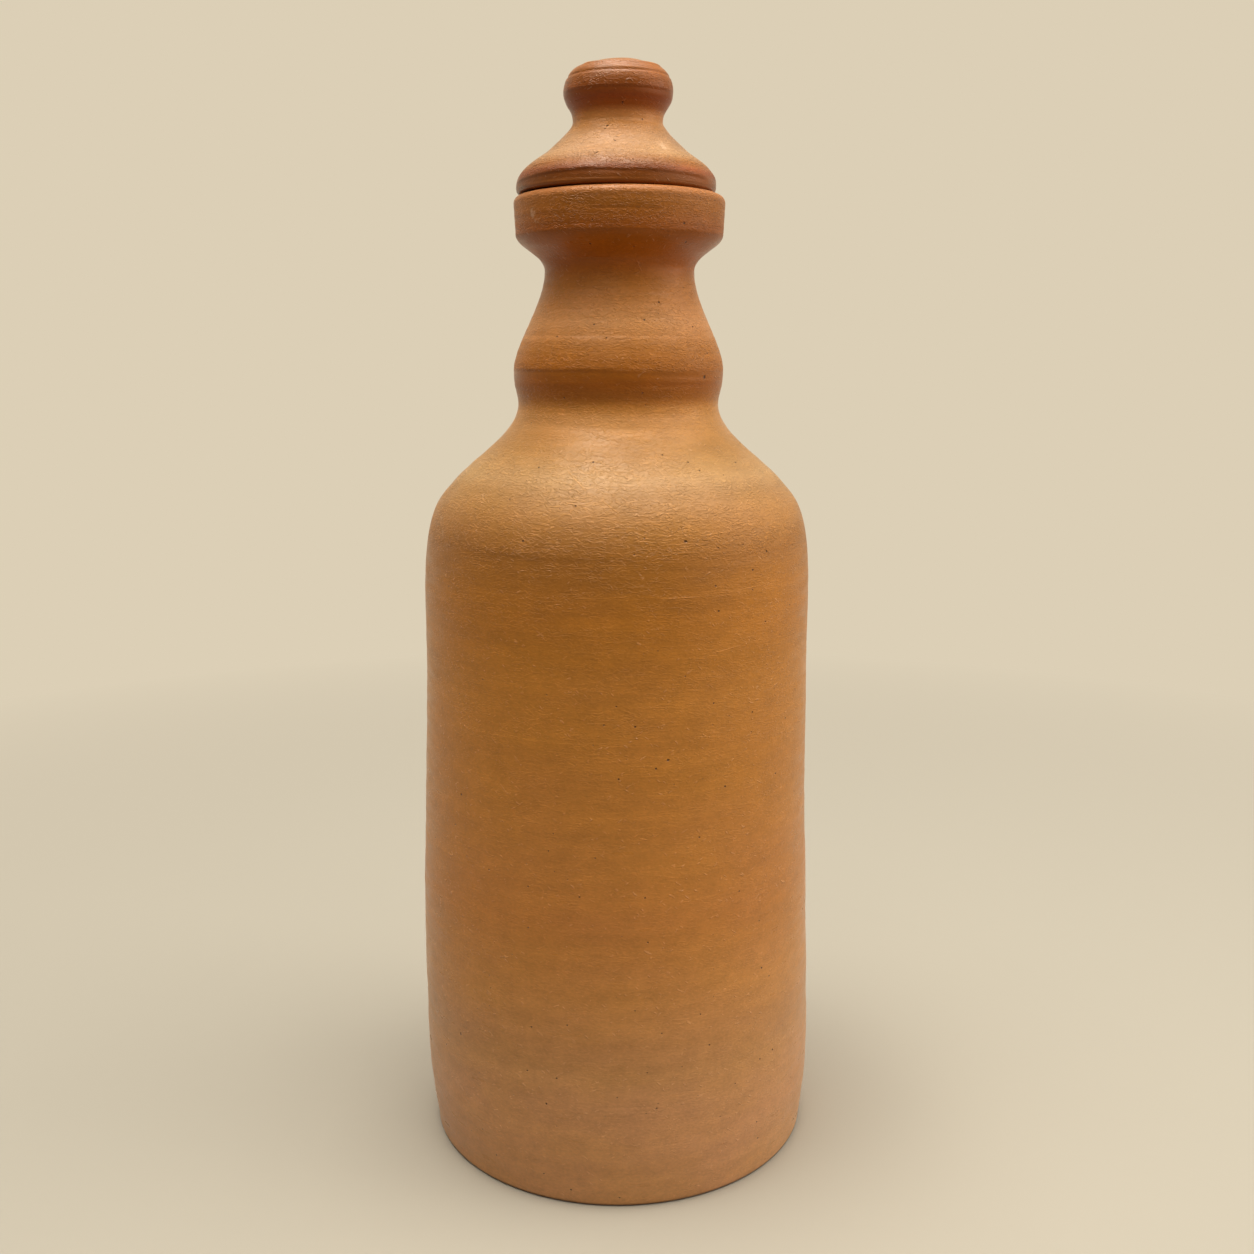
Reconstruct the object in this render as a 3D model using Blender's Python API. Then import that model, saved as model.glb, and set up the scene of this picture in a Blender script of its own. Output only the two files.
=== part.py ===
"""Thrown clay water bottle with its lift-off lid.

Metres, +Z up. The foot stands on z = 0 and the potter's wheel turned about the Z axis.
The bottle is one wall of clay round one hollow, open at the mouth. The lid hangs its spigot
in the rim cup, rests its flange on the lip, and lifts straight off along the same axis.
"""

import math

import bmesh
import bpy

# Rises of the bottle, each measured up from the one before it
BELLY_RISE = 0.0316
SIDE_RISE = 0.1144
SHOULDER_RISE = 0.0305
SLOPE_RISE = 0.0199
BULB_RISE = 0.0084
NECK_RISE = 0.0245
CUP_RISE = 0.0089

# Outside radii of the bottle, from the foot up
FOOT_RADIUS = 0.0510
BELLY_RADIUS = 0.0530
SIDE_RADIUS = 0.0504
SHOULDER_RADIUS = 0.0428
PINCH_RADIUS = 0.0258
BULB_RADIUS = 0.0269
WAIST_RADIUS = 0.0190
CUP_RADIUS = 0.0262
RIM_RADIUS = 0.0266

# Clay thicknesses and small rounds of the bottle
WALL = 0.0050
FLOOR = 0.0070
FLOOR_ROUND = 0.0100
RIM_WALL = 0.0044
CUP_FLOOR_WALL = 0.0019
CUP_TAPER = 0.0006
FOOT_ROUND = 0.0009
LIP_OUTER_ROUND = 0.0020
LIP_INNER_ROUND = 0.0008

# Rises of the lid, each measured up from the one before it, the first from the flange's underside
FLANGE_RISE = 0.0018
DOME_RISE = 0.0080
LID_WAIST_RISE = 0.0073
KNOB_RISE = 0.0071
KNOB_TOP_RISE = 0.0062
CROWN_RISE = 0.0017

# Outside radii of the lid, from the dome up
DOME_RADIUS = 0.0177
LID_WAIST_RADIUS = 0.0111
KNOB_RADIUS = 0.0135
KNOB_TOP_RADIUS = 0.0083

# The lid's flange and hidden underside
FLANGE_INSET = 0.0017
FLANGE_ROUND = 0.0010
SPIGOT_DROP = 0.0065
SPIGOT_WALL = 0.0040
SPIGOT_TAPER = 0.0008
SPIGOT_ROUND = 0.0010
HOLLOW_RISE = 0.0095

# Clearances between the lid and the rim cup
SPIGOT_CLEARANCE = 0.0012
SPIGOT_FOOT_CLEARANCE = 0.0010
SEAT_GAP = 0.0003

# Leans of the outline from straight up, outwards positive, in degrees
FOOT_LEAN = 7.0
SHOULDER_LEAN = -39.5
DOME_LEAN = -49.0
KNOB_TOP_LEAN = -84.0

# Pulls: how far a stretch keeps to its lean at its start and at its end, as shares of its length
BELLY_PULLS = (0.36, 0.55)
SIDE_PULLS = (0.22, 0.41)
SHOULDER_PULLS = (0.78, 0.16)
SLOPE_PULLS = (0.31, 0.28)
BULB_PULLS = (0.31, 0.60)
NECK_PULLS = (0.25, 0.31)
CUP_PULLS = (0.37, 0.28)
CUP_FLOOR_PULLS = (0.35, 0.35)
DOME_PULLS = (0.38, 0.18)
LID_WAIST_PULLS = (0.32, 0.16)
KNOB_PULLS = (0.46, 0.45)
KNOB_TOP_PULLS = (0.34, 0.45)
HOLLOW_PULLS = (0.55, 0.55)

# Steps of each stretch of outline, from the foot up and from the flange up, and of the small rounds
OUTSIDE_STEPS = (4, 3, 6, 4, 4, 7, 6)
INSIDE_STEPS = (1, 2, 4, 3, 3, 5)
LID_STEPS = (4, 4, 5, 5)
CUP_FLOOR_STEPS = 4
HOLLOW_STEPS = 5
CROWN_STEPS = 3
ROUND_STEPS = 3
SEGMENTS = 48
SHARP_ANGLE = 50.0

BOTTLE_COLOUR = (0.43, 0.19, 0.07, 1.0)
LID_COLOUR = (0.40, 0.15, 0.05, 1.0)
CLAY_ROUGHNESS = 0.85


def sweep(start, start_lean, end, end_lean, pulls, steps):
    """Points (radius, height) of one smooth stretch of outline, without its start."""
    length = math.dist(start, end)
    points = [start]
    for point, lean, pull in ((start, start_lean, pulls[0]), (end, end_lean, -pulls[1])):
        angle = math.radians(lean)
        reach = pull * length
        points.append((point[0] + reach * math.sin(angle), point[1] + reach * math.cos(angle)))
    points.append(end)
    stretch = []
    for step in range(1, steps + 1):
        t = step / steps
        weights = ((1 - t) ** 3, 3 * (1 - t) ** 2 * t, 3 * (1 - t) * t**2, t**3)
        stretch.append(tuple(sum(w * p[i] for w, p in zip(weights, points)) for i in (0, 1)))
    return stretch


def arc(centre, radius, first, last, steps):
    """Points on an arc of the outline, from one angle to another, in degrees from +X."""
    angles = [math.radians(first + (last - first) * step / steps) for step in range(steps + 1)]
    return [(centre[0] + radius * math.cos(a), centre[1] + radius * math.sin(a)) for a in angles]


def outline(stations, steps):
    """One outline through stations of (radius, height, lean, pulls of the stretch up to it)."""
    points = [stations[0][:2]]
    for low, high, count in zip(stations, stations[1:], steps):
        points += sweep(low[:2], low[2], high[:2], high[2], high[3], count)
    return points


def inset(station, wall):
    """A station moved into the clay by the wall's thickness, square to the outline there."""
    radius, height, lean, pulls = station
    angle = math.radians(lean)
    return radius - wall * math.cos(angle), height + wall * math.sin(angle), lean, pulls


def heights(rises):
    """The running total of a list of rises."""
    return [sum(rises[: count + 1]) for count in range(len(rises))]


def cup_depth():
    """How deep the rim cup is below the lip: it clears the foot of the lid's spigot."""
    return SPIGOT_DROP + SPIGOT_FOOT_CLEARANCE


def bottle_heights():
    """Heights of the bottle's belly, side, shoulder, pinch, bulb, waist, cup and lip."""
    rim_rise = cup_depth() + CUP_FLOOR_WALL
    return heights(
        [BELLY_RISE, SIDE_RISE, SHOULDER_RISE, SLOPE_RISE, BULB_RISE, NECK_RISE, CUP_RISE, rim_rise]
    )


def mouth_radius():
    """The rim cup's inside radius at the lip."""
    return RIM_RADIUS - RIM_WALL


def bottle_profile():
    """The bottle's section from the inside floor's centre, up, over the lip and down to the foot."""
    belly, side, shoulder, pinch, bulb, waist, cup, lip = bottle_heights()
    body = [
        (BELLY_RADIUS, belly, 0, BELLY_PULLS),
        (SIDE_RADIUS, side, 0, SIDE_PULLS),
        (SHOULDER_RADIUS, shoulder, SHOULDER_LEAN, SHOULDER_PULLS),
        (PINCH_RADIUS, pinch, 0, SLOPE_PULLS),
        (BULB_RADIUS, bulb, 0, BULB_PULLS),
        (WAIST_RADIUS, waist, 0, NECK_PULLS),
    ]
    foot = (FOOT_RADIUS, FOOT_ROUND, FOOT_LEAN, None)
    outside = arc((FOOT_RADIUS - FOOT_ROUND, FOOT_ROUND), FOOT_ROUND, -90, 0, ROUND_STEPS)[:-1]
    outside += outline([foot, *body, (CUP_RADIUS, cup, 0, CUP_PULLS)], OUTSIDE_STEPS)
    corner = (RIM_RADIUS - LIP_OUTER_ROUND, lip - LIP_OUTER_ROUND)
    outside += arc(corner, LIP_OUTER_ROUND, 0, 90, ROUND_STEPS + 1)

    mouth = mouth_radius()
    cup_floor = (mouth - CUP_TAPER, lip - cup_depth())
    corner = (FOOT_RADIUS - WALL - FLOOR_ROUND, FLOOR + FLOOR_ROUND)
    inside = [(0.0, FLOOR)] + arc(corner, FLOOR_ROUND, -90, 0, ROUND_STEPS + 1)[:-1]
    knuckle = (corner[0] + FLOOR_ROUND, corner[1], FOOT_LEAN, None)
    inside += outline([knuckle] + [inset(station, WALL) for station in body], INSIDE_STEPS)
    inside += sweep(inside[-1], 0, cup_floor, 0, CUP_FLOOR_PULLS, CUP_FLOOR_STEPS)
    corner = (mouth + LIP_INNER_ROUND, lip - LIP_INNER_ROUND)
    inside += arc(corner, LIP_INNER_ROUND, 180, 90, ROUND_STEPS - 1)
    return inside + outside[::-1] + [(0.0, 0.0)]


def lid_profile():
    """The lid's section from the crown's centre, down to the spigot and up into the hollow.

    Heights count from the flange's underside, which is where the lid rests.
    """
    flange, dome, waist, knob, knob_top, crown = heights(
        [FLANGE_RISE, DOME_RISE, LID_WAIST_RISE, KNOB_RISE, KNOB_TOP_RISE, CROWN_RISE]
    )
    edge = RIM_RADIUS - FLANGE_INSET
    outside = arc((edge - FLANGE_ROUND, FLANGE_ROUND), FLANGE_ROUND, -90, 0, ROUND_STEPS)
    stations = [
        (edge, flange, 0, None),
        (DOME_RADIUS, dome, DOME_LEAN, DOME_PULLS),
        (LID_WAIST_RADIUS, waist, 0, LID_WAIST_PULLS),
        (KNOB_RADIUS, knob, 0, KNOB_PULLS),
        (KNOB_TOP_RADIUS, knob_top, KNOB_TOP_LEAN, KNOB_TOP_PULLS),
    ]
    outside += outline(stations, LID_STEPS)
    for step in range(1, CROWN_STEPS + 1):
        share = 1 - step / CROWN_STEPS
        outside.append((KNOB_TOP_RADIUS * share, crown - CROWN_RISE * share**2))

    spigot = mouth_radius() - SPIGOT_CLEARANCE
    tip = spigot - SPIGOT_TAPER
    bore = tip - SPIGOT_WALL
    foot = SPIGOT_ROUND - SPIGOT_DROP
    underside = [(spigot, 0.0)]
    underside += arc((tip - SPIGOT_ROUND, foot), SPIGOT_ROUND, 0, -90, ROUND_STEPS)
    underside += arc((bore + SPIGOT_ROUND, foot), SPIGOT_ROUND, -90, -180, ROUND_STEPS - 1)
    underside += sweep((bore, 0.0), 0, (0.0, HOLLOW_RISE), -90, HOLLOW_PULLS, HOLLOW_STEPS)
    return outside[::-1] + underside


def turned(name, profile, material):
    """One closed solid, turned from a profile whose ends lie on the axis."""
    shape = bmesh.new()
    corners = [shape.verts.new((radius, 0.0, height)) for radius, height in profile]
    edges = [shape.edges.new(pair) for pair in zip(corners, corners[1:])]
    bmesh.ops.spin(
        shape,
        geom=corners + edges,
        axis=(0, 0, 1),
        cent=(0, 0, 0),
        angle=math.tau,
        steps=SEGMENTS,
        use_merge=True,
    )
    bmesh.ops.remove_doubles(shape, verts=shape.verts, dist=1e-6)
    bmesh.ops.recalc_face_normals(shape, faces=shape.faces)
    mesh = bpy.data.meshes.new(name)
    shape.to_mesh(mesh)
    shape.free()
    mesh.shade_smooth()
    mesh.set_sharp_from_angle(angle=math.radians(SHARP_ANGLE))
    mesh.materials.append(material)
    piece = bpy.data.objects.new(name, mesh)
    bpy.context.scene.collection.objects.link(piece)
    return piece


def fired_clay(name, colour):
    """Unglazed earthenware: matt, with no coat."""
    material = bpy.data.materials.new(name)
    material.use_nodes = True
    shader = material.node_tree.nodes["Principled BSDF"]
    shader.inputs["Base Color"].default_value = colour
    shader.inputs["Roughness"].default_value = CLAY_ROUGHNESS
    shader.inputs["Metallic"].default_value = 0.0
    return material


def main():
    for old in list(bpy.data.objects):
        bpy.data.objects.remove(old, do_unlink=True)
    turned("bottle", bottle_profile(), fired_clay("bottle_clay", BOTTLE_COLOUR))
    lid = turned("lid", lid_profile(), fired_clay("lid_clay", LID_COLOUR))
    lid.location.z = bottle_heights()[-1] + SEAT_GAP


main()
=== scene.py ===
"""The looks of a thrown clay water bottle and its lift-off lid.

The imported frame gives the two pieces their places. Here each one gets its real skin: a finely
turned mesh that keeps the marks of the potter's hands and tools, dressed in unglazed fired clay.
Metres, +Z up, with the foot on z = 0 and the wheel's axis on Z. A turn is an angle round that
axis in degrees: 0 faces the camera and 90 is on its right.
"""

from __future__ import annotations

import logging
import math
from dataclasses import dataclass
from dataclasses import replace
from enum import Enum
from typing import Protocol

import bpy
import numpy as np
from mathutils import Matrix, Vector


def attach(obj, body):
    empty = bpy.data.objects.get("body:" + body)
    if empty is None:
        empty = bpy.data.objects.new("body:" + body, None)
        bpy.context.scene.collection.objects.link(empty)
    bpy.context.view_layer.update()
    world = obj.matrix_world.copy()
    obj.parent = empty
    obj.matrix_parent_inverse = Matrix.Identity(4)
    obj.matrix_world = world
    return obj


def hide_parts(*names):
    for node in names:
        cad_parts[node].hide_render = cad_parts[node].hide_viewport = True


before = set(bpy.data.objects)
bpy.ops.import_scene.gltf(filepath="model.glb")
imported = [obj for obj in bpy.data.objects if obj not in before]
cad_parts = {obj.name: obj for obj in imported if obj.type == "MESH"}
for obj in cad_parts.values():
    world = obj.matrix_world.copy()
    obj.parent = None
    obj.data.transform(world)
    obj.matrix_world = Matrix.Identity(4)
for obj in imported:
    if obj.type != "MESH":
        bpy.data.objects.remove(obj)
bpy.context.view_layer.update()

FULL_TURN = 360
HALF_TURN = 180
MM_PER_METRE = 1000
Point = tuple[float, float]
Place = tuple[float, float, float]
Colour = tuple[float, float, float, float]
log = logging.getLogger("water_bottle")


class Body(Enum):
    """The bodies of the frame that a piece can ride on."""

    BOTTLE = "bottle"
    LID = "lid"


class Slot(Enum):
    """The record's material slots."""

    BOTTLE_CLAY = "bottle_clay"
    LID_CLAY = "lid_clay"


class Skin(Enum):
    """The kinds of surface along a section, each with the share of the relief that it takes."""

    OUTSIDE = 1.0
    INSIDE = 0.6
    SEAT = 0.0


def tone(red: int, green: int, blue: int) -> Colour:
    """A colour as the eye sees it, in the scene's linear values, along the sRGB curve.

    Args:
        red: How red it is, from 0 to 255.
        green: How green it is.
        blue: How blue it is.

    Returns:
        The colour, opaque.
    """
    linear = []
    for channel in (red, green, blue):
        share = channel / 255
        linear.append(share / 12.92 if share <= 0.04045 else ((share + 0.055) / 1.055) ** 2.4)
    return (*linear, 1.0)


def smooth_share(value: np.ndarray, low: float, high: float) -> np.ndarray:
    """A share that goes smoothly from 0 at low to 1 at high."""
    share = np.clip((value - low) / (high - low), 0, 1)
    return share * share * (3 - 2 * share)


def turn_from(turn: np.ndarray, middle: float) -> np.ndarray:
    """How far turns are from a middle one, the short way round."""
    return (turn - middle + HALF_TURN) % FULL_TURN - HALF_TURN


def place_at(turn: float, height: float, radius: float) -> Place:
    """The place at a turn, a height and a distance from the wheel's axis."""
    angle = math.radians(turn)
    return (radius * math.sin(angle), -radius * math.cos(angle), height)


@dataclass(frozen=True)
class Station:
    """A point that a section passes through.

    The lean is from straight up, outwards positive, in degrees. The pulls say how far the
    stretch up to this station keeps to its lean at its start and at its end.
    """

    radius: float
    height: float
    lean: float = 0.0
    pulls: Point = (0.33, 0.33)

    def heading(self) -> np.ndarray:
        """The way in which the outline passes, as a step of length 1, outwards and up."""
        angle = math.radians(self.lean)
        return np.array([math.sin(angle), math.cos(angle)])

    def inset(self, wall: float) -> Station:
        """This station moved into the clay by a wall, square to the outline."""
        outwards, up = self.heading()
        return replace(self, radius=self.radius - wall * up, height=self.height + wall * outwards)


class Section:
    """Half of a turned piece's section, drawn point by point from one end on the axis."""

    DRAFT_POINTS = 160

    def __init__(self, start: Point) -> None:
        """Starts the section.

        Args:
            start: The first point, as radius and height.
        """
        self.points: list[Point] = [start]
        self.skins: list[Skin] = [Skin.SEAT]

    def follow(self, draft: np.ndarray, spacing: float, skin: Skin) -> None:
        """Adds points at an even spacing along a drawn line.

        Args:
            draft: The line's points, one a row, as radius and height.
            spacing: The distance between two points that are kept.
            skin: The kind of surface that the line is.
        """
        line = np.vstack([self.points[-1], draft])
        along = np.concatenate([[0.0], np.cumsum(np.hypot(*np.diff(line, axis=0).T))])
        count = max(1, round(along[-1] / spacing))
        for place in np.linspace(0, along[-1], count + 1)[1:]:
            radius = float(np.interp(place, along, line[:, 0]))
            height = float(np.interp(place, along, line[:, 1]))
            self.points.append((radius, height))
            self.skins.append(skin)

    def line(self, end: Point, spacing: float, skin: Skin) -> None:
        """Adds a straight line to a point."""
        self.follow(np.array([end]), spacing, skin)

    def arc(
        self,
        centre: Point,
        radius: float,
        first: float,
        last: float,
        spacing: float,
        skin: Skin,
    ) -> None:
        """Adds a round corner.

        Args:
            centre: The corner's centre.
            radius: The corner's radius.
            first: The angle that it starts at, in degrees from straight outwards.
            last: The angle that it ends at.
            spacing: The distance between two points.
            skin: The kind of surface that the corner is.
        """
        angles = np.radians(np.linspace(first, last, self.DRAFT_POINTS))
        radii = centre[0] + radius * np.cos(angles)
        heights = centre[1] + radius * np.sin(angles)
        self.follow(np.stack([radii, heights], axis=1), spacing, skin)

    def curve(
        self,
        low: Station,
        high: Station,
        spacing: float,
        skin: Skin,
        down: bool = False,
    ) -> None:
        """Adds the smooth stretch between two stations.

        Args:
            low: The lower station.
            high: The upper station, whose pulls shape the stretch.
            spacing: The distance between two points.
            skin: The kind of surface that the stretch is.
            down: Whether the section runs down the stretch.
        """
        start = np.array([low.radius, low.height])
        end = np.array([high.radius, high.height])
        length = np.hypot(*(end - start))
        after_start = start + high.pulls[0] * length * low.heading()
        before_end = end - high.pulls[1] * length * high.heading()
        t = np.linspace(0, 1, self.DRAFT_POINTS)[:, None]
        weights = [(1 - t) ** 3, 3 * (1 - t) ** 2 * t, 3 * (1 - t) * t**2, t**3]
        corners = [start, after_start, before_end, end]
        draft = sum(weight * corner for weight, corner in zip(weights, corners))
        self.follow(draft[::-1] if down else draft, spacing, skin)

    def radius_at(self, height: float) -> float:
        """The outside's radius.

        Args:
            height: The height that it is wanted at.

        Returns:
            The radius.
        """
        outside = [point for point, skin in zip(self.points, self.skins) if skin is Skin.OUTSIDE]
        radii, heights = zip(*outside)
        return float(np.interp(height, heights, radii))


class Mark(Protocol):
    """Something that the making left on the clay."""

    def rise(self, height: np.ndarray, turn: np.ndarray) -> np.ndarray:
        """How far the clay stands proud there, in metres."""


@dataclass(frozen=True)
class Swell:
    """A broad unevenness that goes all the way round."""

    height: float
    reach: float
    size: float

    def rise(self, height: np.ndarray, turn: np.ndarray) -> np.ndarray:
        """How far the clay stands proud there, in metres."""
        return self.size * np.exp(-(((height - self.height) / self.reach) ** 2)) + 0 * turn


@dataclass(frozen=True)
class Lump:
    """A local lump, or a dent where its size is negative."""

    turn: float
    height: float
    width: float
    reach: float
    size: float

    def rise(self, height: np.ndarray, turn: np.ndarray) -> np.ndarray:
        """How far the clay stands proud there, in metres."""
        up = (height - self.height) / self.reach
        return self.size * np.exp(-((turn_from(turn, self.turn) / self.width) ** 2) - up**2)


@dataclass(frozen=True)
class Oval:
    """The piece pressed a little out of round."""

    turn: float
    size: float

    def rise(self, height: np.ndarray, turn: np.ndarray) -> np.ndarray:
        """How far the clay stands proud there, in metres."""
        return self.size * np.cos(2 * np.radians(turn - self.turn)) + 0 * height


@dataclass(frozen=True)
class Rings:
    """The fine rings that fingers leave while the clay turns, between two heights.

    A ring's strength is the first of the two, give or take the second, and changes round the
    piece in a few waves.
    """

    low: float
    high: float
    spacing: float
    size: float
    seed: int
    count: int = 7
    fade: float = 0.004
    wander: float = 0.35
    lengths: Point = (0.6, 2.0)
    strengths: Point = (0.65, 0.35)
    most_waves: int = 3

    def rise(self, height: np.ndarray, turn: np.ndarray) -> np.ndarray:
        """How far the clay stands proud there.

        Args:
            height: The heights, in a column.
            turn: The turns, in a row.

        Returns:
            The rise at each height and turn, in metres.
        """
        draw = np.random.default_rng(self.seed)
        angle = np.radians(turn)
        total = np.zeros(np.broadcast(height, turn).shape)
        for _ in range(self.count):
            length = self.spacing * draw.uniform(*self.lengths)
            phase, lean, swing = draw.uniform(0, math.tau, 3)
            drift = self.wander * length * np.sin(angle + lean)
            waves = draw.integers(1, self.most_waves + 1)
            strength = self.strengths[0] + self.strengths[1] * np.cos(waves * angle + swing)
            total += strength * np.sin(math.tau * (height + drift) / length + phase)
        inside = smooth_share(height, self.low, self.low + self.fade)
        inside = inside * (1 - smooth_share(height, self.high - self.fade, self.high))
        return self.size * total / math.sqrt(self.count) * inside


@dataclass(frozen=True)
class ToolLine:
    """A line left by a tool: a groove or a ridge, or a step where its drop isn't 0.

    It runs from one turn and height to another, and fades out over some degrees at its ends. The
    clay above a step stands proud by the drop at the line, and that eases off over the reach.
    """

    turns: Point
    heights: Point
    width: float
    size: float = 0.0
    drop: float = 0.0
    reach: float = 0.004
    fade: float = 8.0

    def rise(self, height: np.ndarray, turn: np.ndarray) -> np.ndarray:
        """How far the clay stands proud there.

        Args:
            height: The heights, in a column.
            turn: The turns, in a row.

        Returns:
            The rise at each height and turn, in metres.
        """
        span = self.turns[1] - self.turns[0]
        away = turn_from(turn, sum(self.turns) / 2) + span / 2
        line = self.heights[0] + (self.heights[1] - self.heights[0]) * np.clip(away / span, 0, 1)
        along = 1.0
        if span < FULL_TURN:
            along = smooth_share(away, 0, self.fade) * (1 - smooth_share(away, span - self.fade, span))
        off = height - line
        groove = self.size * np.exp(-((off / self.width) ** 2))
        step = self.drop * smooth_share(off, -self.width, self.width)
        step = step * np.exp(-np.clip(off, 0, None) / self.reach)
        return (groove + step) * along


@dataclass(frozen=True)
class Lean:
    """How far the turned centre strays from the wheel's axis at a height, as X and Y."""

    height: float
    aside: Point


@dataclass(frozen=True)
class TurnedSkin:
    """A closed turned mesh with relief on it.

    Its half section starts at the lower end on the axis, its leans go from the lowest height up,
    and the columns are how many points go round it.
    """

    name: str
    section: Section
    marks: list[Mark]
    leans: list[Lean]
    columns: int

    def points(self) -> np.ndarray:
        """Works out the mesh's points.

        Returns:
            The points, as rows, columns and X, Y, Z.
        """
        line = np.array(self.section.points)
        share = np.array([skin.value for skin in self.section.skins])[:, None]
        along = np.gradient(line, axis=0)
        along /= np.hypot(*along.T)[:, None]
        height = line[:, 1][:, None]
        turn = np.linspace(0, FULL_TURN, self.columns, endpoint=False)[None, :]
        rise = share * sum(mark.rise(height, turn) for mark in self.marks)
        radius = line[:, 0][:, None] + rise * along[:, 1][:, None]
        height = height - rise * along[:, 0][:, None]
        levels = [lean.height for lean in self.leans]
        aside = [np.interp(height, levels, [lean.aside[axis] for lean in self.leans]) for axis in (0, 1)]
        angle = np.radians(turn)
        across = radius * np.sin(angle) + aside[0]
        deep = aside[1] - radius * np.cos(angle)
        return np.stack([across, deep, height], axis=2)

    def faces(self, rows: int) -> list[tuple[int, ...]]:
        """The faces between the rows, with a fan at each end on the axis.

        Args:
            rows: How many rows of points there are, without the two on the axis.

        Returns:
            The corner numbers of each face, all turned outwards.
        """
        count = self.columns
        first, last = rows * count, rows * count + 1
        faces: list[tuple[int, ...]] = []
        for column in range(count):
            after = (column + 1) % count
            faces.append((first, after, column))
            top = (rows - 1) * count
            faces.append((last, top + column, top + after))
            for row in range(rows - 1):
                low, high = row * count, (row + 1) * count
                faces.append((low + column, low + after, high + after, high + column))
        return faces

    def build(self) -> bpy.types.Object:
        """Makes the mesh.

        Returns:
            The object, in the scene.
        """
        points = self.points()
        ends = [points[0].mean(axis=0), points[-1].mean(axis=0)]
        inner = points[1:-1]
        mesh = bpy.data.meshes.new(self.name)
        mesh.from_pydata(np.vstack([inner.reshape(-1, 3), ends]).tolist(), [], self.faces(len(inner)))
        mesh.shade_smooth()
        piece = bpy.data.objects.new(self.name, mesh)
        bpy.context.scene.collection.objects.link(piece)
        return piece


@dataclass(frozen=True)
class Spot:
    """A place on a piece's outside that differs from the clay round it.

    The length and the width are in millimetres.
    """

    turn: float
    height: float
    length: float
    width: float

    def middle(self, section: Section) -> Place:
        """Its middle, on a piece with this section."""
        return place_at(self.turn, self.height, section.radius_at(self.height))


@dataclass(frozen=True)
class Blemish(Spot):
    """A pinhole, a scratch, a crumb of clay or a chalky patch, tilted in degrees, up to the right."""

    tilt: float = 0.0


@dataclass(frozen=True)
class PaintedLightPatch(Spot):
    """A broad soft patch of painted light, or of painted shade where its size is negative.

    The size is a share of the clay's lightness.
    """

    size: float = 0.0


@dataclass(frozen=True)
class Blemishes:
    """The single marks that a piece shows, by kind."""

    pits: tuple[Blemish, ...] = ()
    scratches: tuple[Blemish, ...] = ()
    chalk: tuple[Blemish, ...] = ()
    # Broad patches of painted light and shade: lighter where the lamps fall, darker where shade falls.
    painted_light: tuple[PaintedLightPatch, ...] = ()


@dataclass(frozen=True)
class Cloud:
    """A cloudy unevenness of the clay.

    Its marks have a length along the ground and a height, in millimetres, and a tilt in degrees.
    The pattern keeps two clouds of one finish from being alike, and the detail is the number of
    finer layers. Where the noise goes through the span, the cloud goes from one value to the other.
    """

    long: float
    tall: float
    pattern: float
    detail: float = 2.0
    tilt: float = 0.0
    span: Point = (0.3, 0.7)
    values: Point = (0.0, 1.0)

    @classmethod
    def strokes(cls, long: float, tall: float, pattern: float, tilt: float, least: float = 0.59) -> Cloud:
        """Short broken strokes, 1 along their middle: the higher the least noise, the fewer they are."""
        edge = 0.07
        return cls(long, tall, pattern, detail=1.0, tilt=tilt, span=(least, least + edge))


@dataclass(frozen=True)
class Specks:
    """Scattered specks, one at most in each cell, whose length and height are in millimetres.

    The share is the share of the cells that hold a speck, and the size is the largest speck's
    radius, as a share of its cell.
    """

    long: float
    tall: float
    pattern: float
    share: float
    size: float


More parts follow.
